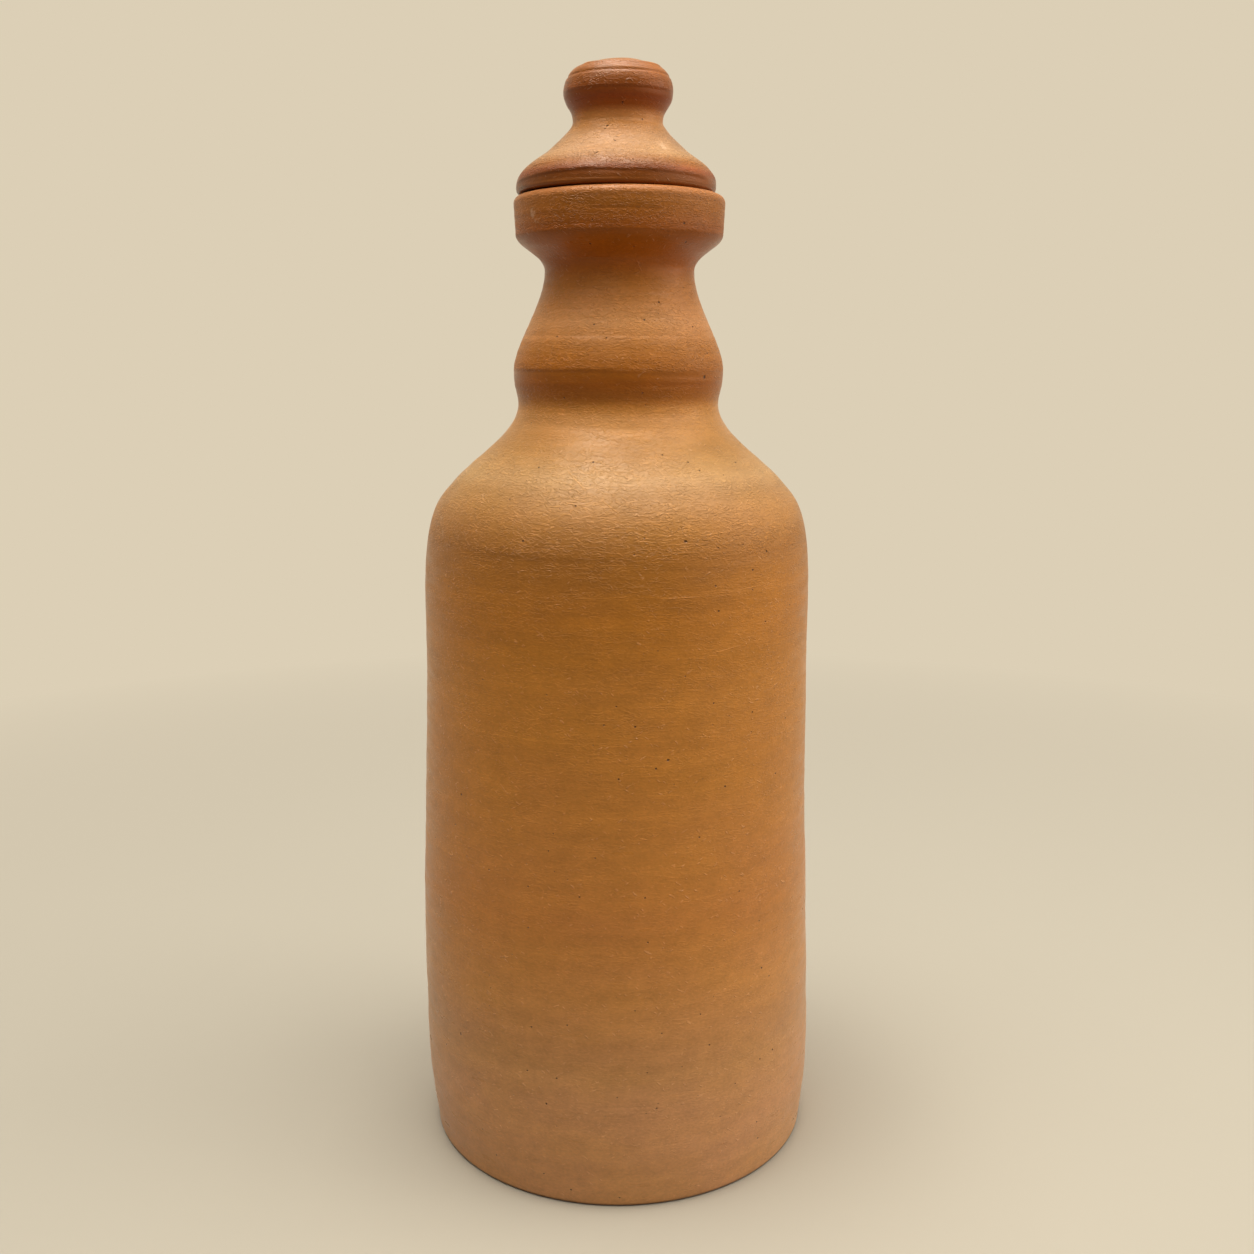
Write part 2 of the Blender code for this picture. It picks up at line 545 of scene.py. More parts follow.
class Bench:
    """Lays out the nodes of one material."""

    MARK_DEPTH = 0.006
    MARK_EDGE = 1.7
    PATTERN_STEPS = (0.37, 0.61, 0.23)
    SPECK_SIZES = (0.4, 0.6)
    SPECK_EDGE = (0.5, 1.0)
    MIX_INPUTS = (0, 6, 7)
    MIX_OUTPUT = 2

    def __init__(self, name: str, seed: float = 0.0) -> None:
        """Starts a material.

        Args:
            name: The material's name.
            seed: What its patterns count from.
        """
        self.seed = seed
        self.material = bpy.data.materials.new(name)
        self.material.use_nodes = True
        self.tree = self.material.node_tree
        self.shader = self.tree.nodes["Principled BSDF"]
        self.place = self.node("ShaderNodeTexCoord").outputs["Object"]
        parts = self.node("ShaderNodeSeparateXYZ")
        self.tree.links.new(self.place, parts.inputs[0])
        self.height = parts.outputs["Z"]

    def node(self, kind: str, **settings: object) -> bpy.types.Node:
        """Adds a node.

        Args:
            kind: The kind of node, by Blender's name.
            settings: What is set on it.

        Returns:
            The node.
        """
        made = self.tree.nodes.new(kind)
        for name, value in settings.items():
            setattr(made, name, value)
        return made

    def plug(self, socket: bpy.types.NodeSocket, value: object) -> None:
        """Links a socket to another, or sets it to a value.

        Args:
            socket: The socket that takes the value.
            value: The other socket, or a number or a colour.
        """
        if isinstance(value, bpy.types.NodeSocket):
            self.tree.links.new(value, socket)
        else:
            socket.default_value = value

    def maths(self, operation: str, *values: object) -> bpy.types.NodeSocket:
        """Works out one operation.

        Args:
            operation: The operation, by Blender's name.
            values: The numbers or sockets that it takes.

        Returns:
            A number socket.
        """
        made = self.node("ShaderNodeMath", operation=operation)
        for socket, value in zip(made.inputs, values):
            self.plug(socket, value)
        return made.outputs[0]

    def chain(self, operation: str, *values: object) -> object:
        """Works out one operation on the first two values, then on the result and the next one.

        Args:
            operation: The operation, by Blender's name.
            values: The numbers or sockets that it takes.

        Returns:
            A number socket, or the value where there is only one.
        """
        whole = values[0]
        for value in values[1:]:
            whole = self.maths(operation, whole, value)
        return whole

    def total(self, *values: object) -> bpy.types.NodeSocket:
        """Adds up numbers or sockets."""
        return self.chain("ADD", *values)

    def product(self, *values: object) -> bpy.types.NodeSocket:
        """Multiplies numbers or sockets."""
        return self.chain("MULTIPLY", *values)

    def most(self, *values: object) -> bpy.types.NodeSocket:
        """Takes the largest of numbers or sockets."""
        return self.chain("MAXIMUM", *values)

    def remap(
        self,
        value: object,
        low: float,
        high: float,
        first: float,
        last: float,
    ) -> bpy.types.NodeSocket:
        """Maps a range of a number onto another, held at both ends.

        The range is held by a node of its own, which keeps the material small enough to render:
        the renderer works out the nodes in the order in which they are made.

        Args:
            value: The number or socket to map.
            low: The low end of its range.
            high: The high end of its range.
            first: What the low end becomes.
            last: What the high end becomes.

        Returns:
            A number socket.
        """
        made = self.node("ShaderNodeMapRange", clamp=False)
        for socket, number in zip(made.inputs, (value, low, high, first, last)):
            self.plug(socket, number)
        held = self.node("ShaderNodeClamp")
        for socket, number in zip(held.inputs, (made.outputs[0], min(first, last), max(first, last))):
            self.plug(socket, number)
        return held.outputs[0]

    def mix(
        self,
        share: object,
        first: object,
        second: object,
        blend: str = "MIX",
    ) -> bpy.types.NodeSocket:
        """Mixes two colours.

        Args:
            share: How much of the second one shows, from 0 to 1.
            first: The first colour or socket.
            second: The second one.
            blend: The way in which they mix, by Blender's name.

        Returns:
            A colour socket.
        """
        made = self.node("ShaderNodeMix", data_type="RGBA", blend_type=blend)
        for number, value in zip(self.MIX_INPUTS, (share, first, second)):
            self.plug(made.inputs[number], value)
        return made.outputs[self.MIX_OUTPUT]

    def local(self, middle: Place, turns: Place, size: Place) -> bpy.types.NodeSocket:
        """The place as counted from a middle, along turned axes, in units of a size.

        Args:
            middle: Where it counts from, in metres.
            turns: How the axes are turned, in radians.
            size: How long one unit is along each axis, in metres.

        Returns:
            A vector socket.
        """
        made = self.node("ShaderNodeMapping", vector_type="TEXTURE")
        made.inputs["Location"].default_value = middle
        made.inputs["Rotation"].default_value = turns
        made.inputs["Scale"].default_value = size
        self.plug(made.inputs["Vector"], self.place)
        return made.outputs[0]

    def spread(self, marks: Cloud | Specks, tilt: float = 0.0) -> bpy.types.NodeSocket:
        """The place, counted in marks of a cloud's or specks' size.

        Args:
            marks: The cloud or the specks.
            tilt: How far the marks are tilted, in degrees.

        Returns:
            A vector socket.
        """
        seed = self.seed + marks.pattern
        middle = tuple(step * seed for step in self.PATTERN_STEPS)
        size = tuple(side / MM_PER_METRE for side in (marks.long, marks.long, marks.tall))
        return self.local(middle, (0.0, math.radians(tilt), 0.0), size)

    def noise(self, cloud: Cloud) -> bpy.types.NodeSocket:
        """A cloud's plain noise.

        Args:
            cloud: The cloud.

        Returns:
            A number socket, from 0 to 1.
        """
        vector = self.spread(cloud, cloud.tilt)
        made = self.node("ShaderNodeTexNoise")
        made.inputs["Scale"].default_value = 1.0
        made.inputs["Detail"].default_value = cloud.detail
        self.plug(made.inputs["Vector"], vector)
        return made.outputs[0]

    def shaped(self, noise: object, cloud: Cloud) -> bpy.types.NodeSocket:
        """A cloud's plain noise, brought to the cloud's values."""
        return self.remap(noise, *cloud.span, *cloud.values)

    def cloud(self, cloud: Cloud) -> bpy.types.NodeSocket:
        """A cloud, between its two values."""
        return self.shaped(self.noise(cloud), cloud)

    def specks(self, specks: Specks) -> bpy.types.NodeSocket:
        """Scattered specks.

        Args:
            specks: Which ones.

        Returns:
            A number socket, 1 at their middle and 0 away from them.
        """
        vector = self.spread(specks)
        made = self.node("ShaderNodeTexVoronoi")
        made.inputs["Scale"].default_value = 1.0
        self.plug(made.inputs["Vector"], vector)
        luck = self.node("ShaderNodeSeparateColor")
        self.plug(luck.inputs[0], made.outputs["Color"])
        kept = self.maths("GREATER_THAN", luck.outputs[0], 1 - specks.share)
        least, more = (specks.size * share for share in self.SPECK_SIZES)
        reach = self.maths("MULTIPLY_ADD", luck.outputs[1], more, least)
        off = self.maths("DIVIDE", made.outputs["Distance"], reach)
        near = self.remap(off, *self.SPECK_EDGE, 1.0, 0.0)
        return self.product(kept, near)

    def marks(self, blemishes: tuple[Blemish, ...], section: Section) -> object:
        """Where a piece's single marks are: 1 in them and 0 away from them.

        Args:
            blemishes: The marks.
            section: The piece's section, which they sit on.

        Returns:
            A number socket, or 0 without marks.
        """
        found: object = 0.0
        for mark in blemishes:
            turns = (0.0, -math.radians(mark.tilt), math.radians(mark.turn))
            size = (mark.length / 2 / MM_PER_METRE, self.MARK_DEPTH, mark.width / 2 / MM_PER_METRE)
            place = self.local(mark.middle(section), turns, size)
            off = self.node("ShaderNodeVectorMath", operation="LENGTH")
            self.plug(off.inputs[0], place)
            near = self.maths("MULTIPLY_ADD", off.outputs["Value"], -self.MARK_EDGE, self.MARK_EDGE)
            found = self.maths("MAXIMUM", found, near)
        return self.maths("MINIMUM", found, 1.0) if blemishes else found

    def painted_light(self, painted_light: tuple[PaintedLightPatch, ...], section: Section) -> object:
        """How much lighter or darker a piece's patches of painted light and shade make the clay.

        Args:
            painted_light: The patches of painted light and shade.
            section: The piece's section, which they sit on.

        Returns:
            A number socket, or 0 without them.
        """
        found: object = 0.0
        for light_patch in painted_light:
            half = light_patch.length / 2 / MM_PER_METRE
            size = (half, half, light_patch.width / 2 / MM_PER_METRE)
            place = self.local(light_patch.middle(section), (0.0, 0.0, math.radians(light_patch.turn)), size)
            square = self.node("ShaderNodeVectorMath", operation="DOT_PRODUCT")
            self.plug(square.inputs[0], place)
            self.plug(square.inputs[1], place)
            near = self.maths("MAXIMUM", self.maths("SUBTRACT", 1.0, square.outputs["Value"]), 0.0)
            found = self.total(found, self.product(near, near, light_patch.size))
        return found

    def by_height(self, stops: tuple[tuple[float, Colour], ...]) -> bpy.types.NodeSocket:
        """A colour that changes with height.

        Args:
            stops: Heights, from the lowest up, each with its colour.

        Returns:
            A colour socket.
        """
        low, high = stops[0][0], stops[-1][0]
        share = self.remap(self.height, low, high, 0.0, 1.0)
        made = self.node("ShaderNodeValToRGB")
        made.color_ramp.interpolation = "LINEAR"
        elements = made.color_ramp.elements
        for element, stop in zip(elements, (stops[0], stops[-1])):
            element.color = stop[1]
        for height, colour in stops[1:-1]:
            elements.new((height - low) / (high - low)).color = colour
        self.plug(made.inputs[0], share)
        return made.outputs[0]

    def share_by_height(self, stops: tuple[Point, ...]) -> bpy.types.NodeSocket:
        """A share that changes with height."""
        return self.by_height(tuple((height, (share, share, share, 1.0)) for height, share in stops))


@dataclass(frozen=True)
class Layers:
    """The layers of a finish that its colour and its relief share, each a number or a socket."""

    coarse: object
    rings: object
    threads: object
    crumbs: object
    scratches: object
    pits: object
    # How much the patches of painted light and shade lighten or darken the clay.
    painted_light: object


@dataclass(frozen=True)
class FiredClay:
    """Unglazed clay, fired to terracotta: matt, banded by the wheel, sandy and pitted.

    The body is its colour by height, with some painted light and shade in it, and coarse says by height
    how rough its surface is, from 0 to 1. A light value is a share of the clay's lightness, and a relief
    value is in millimetres.
    """

    slot: Slot
    body: tuple[tuple[float, Colour], ...]
    coarse: tuple[Point, ...]
    blemishes: Blemishes
    seed: float
    bands: Cloud = Cloud(34, 7, 0, tilt=1.5, values=(-0.035, 0.035))
    rings: Cloud = Cloud(22, 0.9, 3, tilt=0.8, values=(-0.035, 0.035))
    patches: Cloud = Cloud(22, 13, 7, detail=4.0, values=(-0.045, 0.045))
    mottle: Cloud = Cloud(5.0, 3.2, 61, detail=3.0, values=(-0.07, 0.07))
    grain: Cloud = Cloud(0.9, 0.6, 11, values=(-0.07, 0.07))
    tints: Cloud = Cloud(26, 14, 13, detail=3.0, tilt=2.0, span=(0.34, 0.66))
    wear: Cloud = Cloud(9, 2, 37, values=(-0.06, 0.06))
    grit: Cloud = Cloud(0.8, 0.5, 29, detail=3.0)
    hairs: Cloud = Cloud(16, 0.45, 23, tilt=0.5)
    dragged: tuple[Cloud, ...] = (
        Cloud.strokes(3.2, 0.38, 31, 2.0),
        Cloud.strokes(1.6, 0.40, 35, 26.0),
        Cloud.strokes(1.5, 0.40, 39, -22.0),
    )
    dragged_clusters: Cloud = Cloud(9, 4, 43, span=(0.38, 0.6), values=(0.35, 1.0))
    sand: Specks = Specks(2.8, 2.1, 17, share=0.4, size=0.10)
    sandy: tuple[Cloud, ...] = (
        Cloud.strokes(2.2, 0.7, 51, 38.0, least=0.70),
        Cloud.strokes(2.0, 0.7, 53, -30.0, least=0.70),
    )
    sandy_clusters: Cloud = Cloud(13, 9, 57, span=(0.38, 0.62), values=(0.2, 1.0))
    pinholes: Specks = Specks(3.2, 2.8, 19, share=0.5, size=0.11)
    chalk_left: Cloud = Cloud(1.1, 0.8, 47, span=(0.42, 0.60), values=(0.0, 0.40))
    bands_left: tuple[Point, Point] = ((0.1, 0.4), (0.3, 0.9))
    grit_relief: Point = (0.025, 0.13)
    hair_relief: float = 0.02
    ring_relief: float = 0.03
    thread_light: float = 0.18
    thread_relief: float = 0.15
    crumb_light: float = 0.22
    crumb_relief: float = 0.12
    crumb_chalk: float = 0.16
    scratch_light: float = 0.30
    scratch_relief: float = 0.08
    pit_shade: float = 0.9
    pit_relief: float = -0.3
    bump_distance: float = 0.001
    golden: Colour = (1.01, 1.005, 0.94, 1.0)
    rosy: Colour = (0.995, 0.985, 1.06, 1.0)
    chalky: Colour = tone(222, 180, 140)
    # The colour that pinholes are darkened towards: painted shade inside them.
    pit_shade_colour: Colour = tone(62, 28, 8)
    roughness: Point = (0.31, 0.42)
    specular: float = 0.32
    specular_tint: Colour = (1.0, 0.80, 0.56, 1.0)
    sheen: float = 0.02
    sheen_roughness: float = 0.5
    sheen_tint: Colour = (1.0, 0.92, 0.82, 1.0)

    def threads(self, bench: Bench) -> bpy.types.NodeSocket:
        """The fine threads of raised clay that the sponge and the rib drag out.

        Args:
            bench: The bench that the nodes go on.

        Returns:
            A number socket.
        """
        strokes = [bench.cloud(cloud) for cloud in self.dragged]
        clusters = bench.cloud(self.dragged_clusters)
        return bench.product(bench.most(*strokes), clusters)

    def crumbs(self, bench: Bench) -> bpy.types.NodeSocket:
        """The crumbs and short strokes of sand that stand proud.

        Args:
            bench: The bench that the nodes go on.

        Returns:
            A number socket.
        """
        round_ones = bench.specks(self.sand)
        strokes = bench.most(*[bench.cloud(cloud) for cloud in self.sandy])
        clusters = bench.cloud(self.sandy_clusters)
        return bench.most(round_ones, bench.product(strokes, clusters))

    def pits(self, bench: Bench, section: Section) -> bpy.types.NodeSocket:
        """The pinholes where grit or a bubble came out: small ones everywhere and the large ones."""
        small = bench.specks(self.pinholes)
        return bench.most(small, bench.marks(self.blemishes.pits, section))

    def layers(self, bench: Bench, section: Section) -> Layers:
        """Lays out the layers that colour and relief share.

        Args:
            bench: The bench that the nodes go on.
            section: The section of the piece that it dresses.

        Returns:
            The layers.
        """
        return Layers(
            coarse=bench.share_by_height(self.coarse),
            rings=bench.noise(self.rings),
            threads=self.threads(bench),
            crumbs=self.crumbs(bench),
            scratches=bench.marks(self.blemishes.scratches, section),
            pits=self.pits(bench, section),
            painted_light=bench.painted_light(self.blemishes.painted_light, section),
        )

    def light(self, bench: Bench, layers: Layers) -> bpy.types.NodeSocket:
        """How light the clay is, near 1.

        Bands, fine rings, patches, mottling and grain change it, and so do what stands proud and the
        patches of painted light and shade. The smoother the clay, the fainter its bands.

        Args:
            bench: The bench that the nodes go on.
            layers: The layers that it shares with the relief.

        Returns:
            A number socket.
        """
        bands = bench.cloud(self.bands)
        rings = bench.shaped(layers.rings, self.rings)
        patches = bench.cloud(self.patches)
        mottle = bench.cloud(self.mottle)
        grain = bench.cloud(self.grain)
        uneven = bench.total(bands, rings, patches)
        coarse_span, shares_left = self.bands_left
        uneven = bench.product(uneven, bench.remap(layers.coarse, *coarse_span, *shares_left))
        threads = bench.product(layers.threads, layers.coarse, self.thread_light)
        crumbs = bench.product(layers.crumbs, self.crumb_light)
        scratches = bench.product(layers.scratches, self.scratch_light)
        return bench.total(uneven, mottle, grain, threads, crumbs, scratches, layers.painted_light, 1.0)

    def colour(self, bench: Bench, section: Section, layers: Layers) -> bpy.types.NodeSocket:
        """The clay's colour, from broad bands down to single specks.

        Args:
            bench: The bench that the nodes go on.
            section: The section of the piece that it dresses.
            layers: The layers that it shares with the relief.

        Returns:
            A colour socket.
        """
        body = bench.by_height(self.body)
        light = self.light(bench, layers)
        lit = bench.node("ShaderNodeVectorMath", operation="SCALE")
        bench.plug(lit.inputs[0], body)
        bench.plug(lit.inputs["Scale"], light)
        tint = bench.mix(bench.cloud(self.tints), self.golden, self.rosy)
        clay = bench.mix(1.0, lit.outputs[0], tint, "MULTIPLY")
        left = bench.cloud(self.chalk_left)
        chalk = bench.product(bench.marks(self.blemishes.chalk, section), left)
        pale = bench.most(chalk, bench.product(layers.crumbs, self.crumb_chalk))
        clay = bench.mix(pale, clay, self.chalky)
        # Pinholes darkened: painted shade inside them.
        return bench.mix(bench.product(layers.pits, self.pit_shade), clay, self.pit_shade_colour)

    def relief(self, bench: Bench, layers: Layers) -> bpy.types.NodeSocket:
        """The fine relief.

        Args:
            bench: The bench that the nodes go on.
            layers: The layers that it shares with the colour.

        Returns:
            A number socket, in millimetres.
        """
        grit = bench.noise(self.grit)
        grit = bench.product(grit, bench.remap(layers.coarse, 0.0, 1.0, *self.grit_relief))
        hairs = bench.product(bench.noise(self.hairs), self.hair_relief)
        return bench.total(
            grit,
            hairs,
            bench.product(layers.rings, self.ring_relief),
            bench.product(layers.threads, layers.coarse, self.thread_relief),
            bench.product(layers.crumbs, self.crumb_relief),
            bench.product(layers.scratches, self.scratch_relief),
            bench.product(layers.pits, self.pit_relief),
        )

    def make(self, section: Section) -> bpy.types.Material:
        """Makes the material.

        Args:
            section: The section of the piece that it dresses.

        Returns:
            The material.
        """
        bench = Bench(f"fired_{self.slot.value}", self.seed)
        inputs = bench.shader.inputs
        layers = self.layers(bench, section)
        bench.plug(inputs["Base Color"], self.colour(bench, section, layers))
        worn = bench.cloud(self.wear)
        rough = bench.remap(layers.coarse, 0.0, 1.0, *self.roughness)
        bench.plug(inputs["Roughness"], bench.total(rough, worn))
        inputs["Specular IOR Level"].default_value = self.specular
        inputs["Specular Tint"].default_value = self.specular_tint
        inputs["Sheen Weight"].default_value = self.sheen
        inputs["Sheen Roughness"].default_value = self.sheen_roughness
        inputs["Sheen Tint"].default_value = self.sheen_tint
        relief = self.relief(bench, layers)
        bump = bench.node("ShaderNodeBump")
        bump.inputs["Strength"].default_value = 1.0
        bump.inputs["Distance"].default_value = self.bump_distance
        bench.plug(bump.inputs["Height"], relief)
        bench.plug(inputs["Normal"], bump.outputs[0])
        return bench.material


@dataclass(frozen=True)
class Bottle:
    """The thrown bottle: one wall of clay from the foot to the lip, round its hollow.

    Its stations go up the outside. The steps are the distances between two rows of the mesh on
    the body, the shoulder and the neck, and plain is the distance where nothing shows.
    """

    belly: Station = Station(0.0530, 0.0316, 0, (0.36, 0.55))
    side: Station = Station(0.0504, 0.1460, 0, (0.22, 0.41))
    shoulder: Station = Station(0.0428, 0.1765, -39.5, (0.78, 0.16))
    pinch: Station = Station(0.0258, 0.1964, 0, (0.31, 0.28))
    bulb: Station = Station(0.0269, 0.2048, 0, (0.31, 0.60))
    waist: Station = Station(0.0190, 0.2293, 0, (0.25, 0.31))
    cup: Station = Station(0.0262, 0.2382, 0, (0.37, 0.28))
    foot_radius: float = 0.0510
    foot_round: float = 0.0009
    foot_lean: float = 7.0
    rim_radius: float = 0.0266
    rim_wall: float = 0.0044
    lip_height: float = 0.2476
    lip_outer_round: float = 0.0020
    lip_inner_round: float = 0.0008
    cup_depth: float = 0.0075
    cup_taper: float = 0.0006
    cup_pulls: Point = (0.35, 0.35)
    wall: float = 0.0050
    floor: float = 0.0070
    floor_round: float = 0.0100
    body_step: float = 0.0009
    shoulder_step: float = 0.0005
    neck_step: float = 0.00030
    plain: float = 0.0022
    columns: int = 160

    def stations(self) -> list[Station]:
        """The stations of the outside, from the belly to the waist."""
        return [self.belly, self.side, self.shoulder, self.pinch, self.bulb, self.waist]

    def section(self) -> Section:
        """Draws the section from the foot's centre, up the outside, over the lip and down inside.

        Returns:
            The section.
        """
        drawn = Section((0.0, 0.0))
        drawn.line((self.foot_radius - self.foot_round, 0.0), self.plain * 2, Skin.SEAT)
        corner = (self.foot_radius - self.foot_round, self.foot_round)
        drawn.arc(corner, self.foot_round, -90, 0, self.neck_step, Skin.SEAT)
        low = Station(self.foot_radius, self.foot_round, self.foot_lean)
        steps = [self.body_step] * 2 + [self.shoulder_step] * 2 + [self.neck_step] * 3
        for high, step in zip([*self.stations(), self.cup], steps):
            drawn.curve(low, high, step, Skin.OUTSIDE)
            low = high
        corner = (self.rim_radius - self.lip_outer_round, self.lip_height - self.lip_outer_round)
        drawn.line((self.rim_radius, corner[1]), self.neck_step, Skin.OUTSIDE)
        drawn.arc(corner, self.lip_outer_round, 0, 90, self.neck_step, Skin.OUTSIDE)
        self.draw_inside(drawn)
        return drawn

    def draw_inside(self, drawn: Section) -> None:
        """Adds the inside of the section, from the lip to the floor's centre.

        Args:
            drawn: The section so far, which ends on the lip.
        """
        mouth = self.rim_radius - self.rim_wall
        corner = (mouth + self.lip_inner_round, self.lip_height - self.lip_inner_round)
        drawn.line((corner[0], self.lip_height), self.shoulder_step, Skin.SEAT)
        drawn.arc(corner, self.lip_inner_round, 90, 180, self.neck_step, Skin.SEAT)
        cup_height = self.lip_height - self.cup_depth
        cup_floor = Station(mouth - self.cup_taper, cup_height, 0, self.cup_pulls)
        drawn.line((cup_floor.radius, cup_floor.height), self.plain / 2, Skin.SEAT)
        corner = (self.foot_radius - self.wall - self.floor_round, self.floor + self.floor_round)
        knuckle = Station(corner[0] + self.floor_round, corner[1], self.foot_lean)
        inner = [knuckle, *(station.inset(self.wall) for station in self.stations()), cup_floor]
        for low, high in reversed(list(zip(inner, inner[1:]))):
            drawn.curve(low, high, self.plain, Skin.INSIDE, down=True)
        drawn.arc(corner, self.floor_round, 0, -90, self.plain, Skin.INSIDE)
        drawn.line((0.0, self.floor), self.plain * 2, Skin.INSIDE)

    def marks(self) -> list[Mark]:
        """What the potter's hands and tools left on the bottle."""
        return [
            Oval(25, 0.00012),
            Swell(0.0720, 0.0090, 0.0002),
            Swell(0.1310, 0.0070, -0.0001),
            Swell(0.0370, 0.0060, -0.0002),
            Rings(0.004, 0.160, 0.0085, 0.00005, 11),
            Rings(0.004, 0.160, 0.0026, 0.000012, 12),
            Rings(0.178, 0.197, 0.0022, 0.00005, 13, fade=0.003),
            Rings(0.198, 0.246, 0.0020, 0.00003, 14, fade=0.002),
            Rings(0.198, 0.228, 0.0011, 0.000015, 15, fade=0.002),
            ToolLine((0, 76), (0.0072, 0.0084), 0.0009, size=0.00012, fade=14),
            ToolLine((-50, 12), (0.1631, 0.1624), 0.0006, drop=0.00011, reach=0.006, fade=24),
            ToolLine((0, 62), (0.1625, 0.1572), 0.0006, drop=0.00007, reach=0.005, fade=18),
            ToolLine((-76, 6), (0.2049, 0.2049), 0.00035, drop=0.00018, reach=0.004, fade=20),
            ToolLine((-14, 60), (0.2049, 0.2036), 0.00045, drop=0.00010, reach=0.004, fade=20),
            ToolLine((-80, 70), (0.2131, 0.2127), 0.0004, drop=-0.00016, reach=0.003, fade=30),
            ToolLine((-52, -8), (0.2196, 0.2194), 0.0003, size=-0.00010, fade=10),
            ToolLine((6, 48), (0.2232, 0.2236), 0.0003, size=-0.00008, fade=10),
            ToolLine((-90, 90), (0.2374, 0.2374), 0.0004, drop=0.00018, reach=0.002, fade=30),
            ToolLine((-17, 24), (0.2423, 0.2422), 0.00022, size=-0.00016, fade=6),
            ToolLine((-40, -4), (0.2316, 0.2314), 0.00030, size=-0.00016, fade=6),
        ]

    def leans(self) -> list[Lean]:
        """How the bottle's centre strays on its way up."""
        return [
            Lean(0.000, (0.0, 0.0)),
            Lean(0.030, (-0.0004, 0.0)),
            Lean(0.060, (-0.0009, 0.0)),
            Lean(0.095, (-0.0009, 0.0)),
            Lean(0.120, (-0.0005, 0.0)),
            Lean(0.150, (-0.0004, 0.0001)),
            Lean(0.180, (-0.0001, 0.0)),
            Lean(0.205, (0.0001, 0.0)),
            Lean(0.230, (0.0004, 0.0)),
            Lean(0.248, (0.0004, 0.0)),
        ]

    def blemishes(self) -> Blemishes:
        """The single marks that the bottle shows at the front."""
        return Blemishes(
            pits=(
                Blemish(13.6, 0.1156, 0.9, 0.6, 20),
                Blemish(10.3, 0.1137, 0.6, 0.6),
                Blemish(-49.4, 0.0381, 0.6, 1.1, 10),
                Blemish(-23.4, 0.0475, 0.6, 0.5),
                Blemish(-19.3, 0.0277, 0.5, 0.8),
                Blemish(10.4, 0.0277, 0.5, 0.5),
                Blemish(-77.0, 0.0907, 0.8, 1.0),
                Blemish(52.0, 0.2033, 1.0, 1.3, -30),
                Blemish(18.9, 0.1667, 1.1, 0.7, -10),
                Blemish(40.0, 0.1589, 0.7, 0.5),
                Blemish(-6.0, 0.2126, 0.6, 0.4),
                Blemish(-37.0, 0.2130, 0.7, 0.4, 20),
                Blemish(51.0, 0.2154, 0.6, 0.5),
                Blemish(57.0, 0.2090, 0.7, 0.4),
            ),
            scratches=(
                Blemish(23.0, 0.1655, 3.6, 0.35, -28),
                Blemish(28.0, 0.1680, 9.0, 0.30, 4),
                Blemish(17.0, 0.1539, 12.0, 0.30, 0),
                Blemish(39.0, 0.1548, 9.0, 0.26, 2),
                Blemish(47.0, 0.1553, 7.0, 0.26, 5),
                Blemish(31.0, 0.1408, 10.0, 0.28, 7),
                Blemish(5.0, 0.0976, 1.8, 0.35, 35),
                Blemish(7.0, 0.0966, 2.6, 0.30, -12),
                Blemish(10.0, 0.0972, 2.2, 0.30, 25),
                Blemish(39.5, 0.1058, 3.8, 0.30, 5),
                Blemish(15.0, 0.2300, 5.5, 0.30, -62),
                Blemish(-14.0, 0.1800, 11.0, 0.35, -36),
                Blemish(-2.0, 0.1745, 7.0, 0.30, -34),
            ),
            chalk=(
                Blemish(-66.3, 0.1689, 2.6, 1.6, 20),
                Blemish(-61.9, 0.1658, 1.4, 2.6),
                Blemish(-51.5, 0.2420, 3.0, 3.2, 10),
                Blemish(-48.0, 0.2402, 2.6, 1.8, -20),
            ),
            # Painted light and shade: the upper body lighter on its right-hand side and darker at the
            # front.
            painted_light=(
                PaintedLightPatch(50.0, 0.1600, 64.0, 46.0, 0.17),
                PaintedLightPatch(-8.0, 0.1600, 60.0, 24.0, -0.08),
            ),
        )

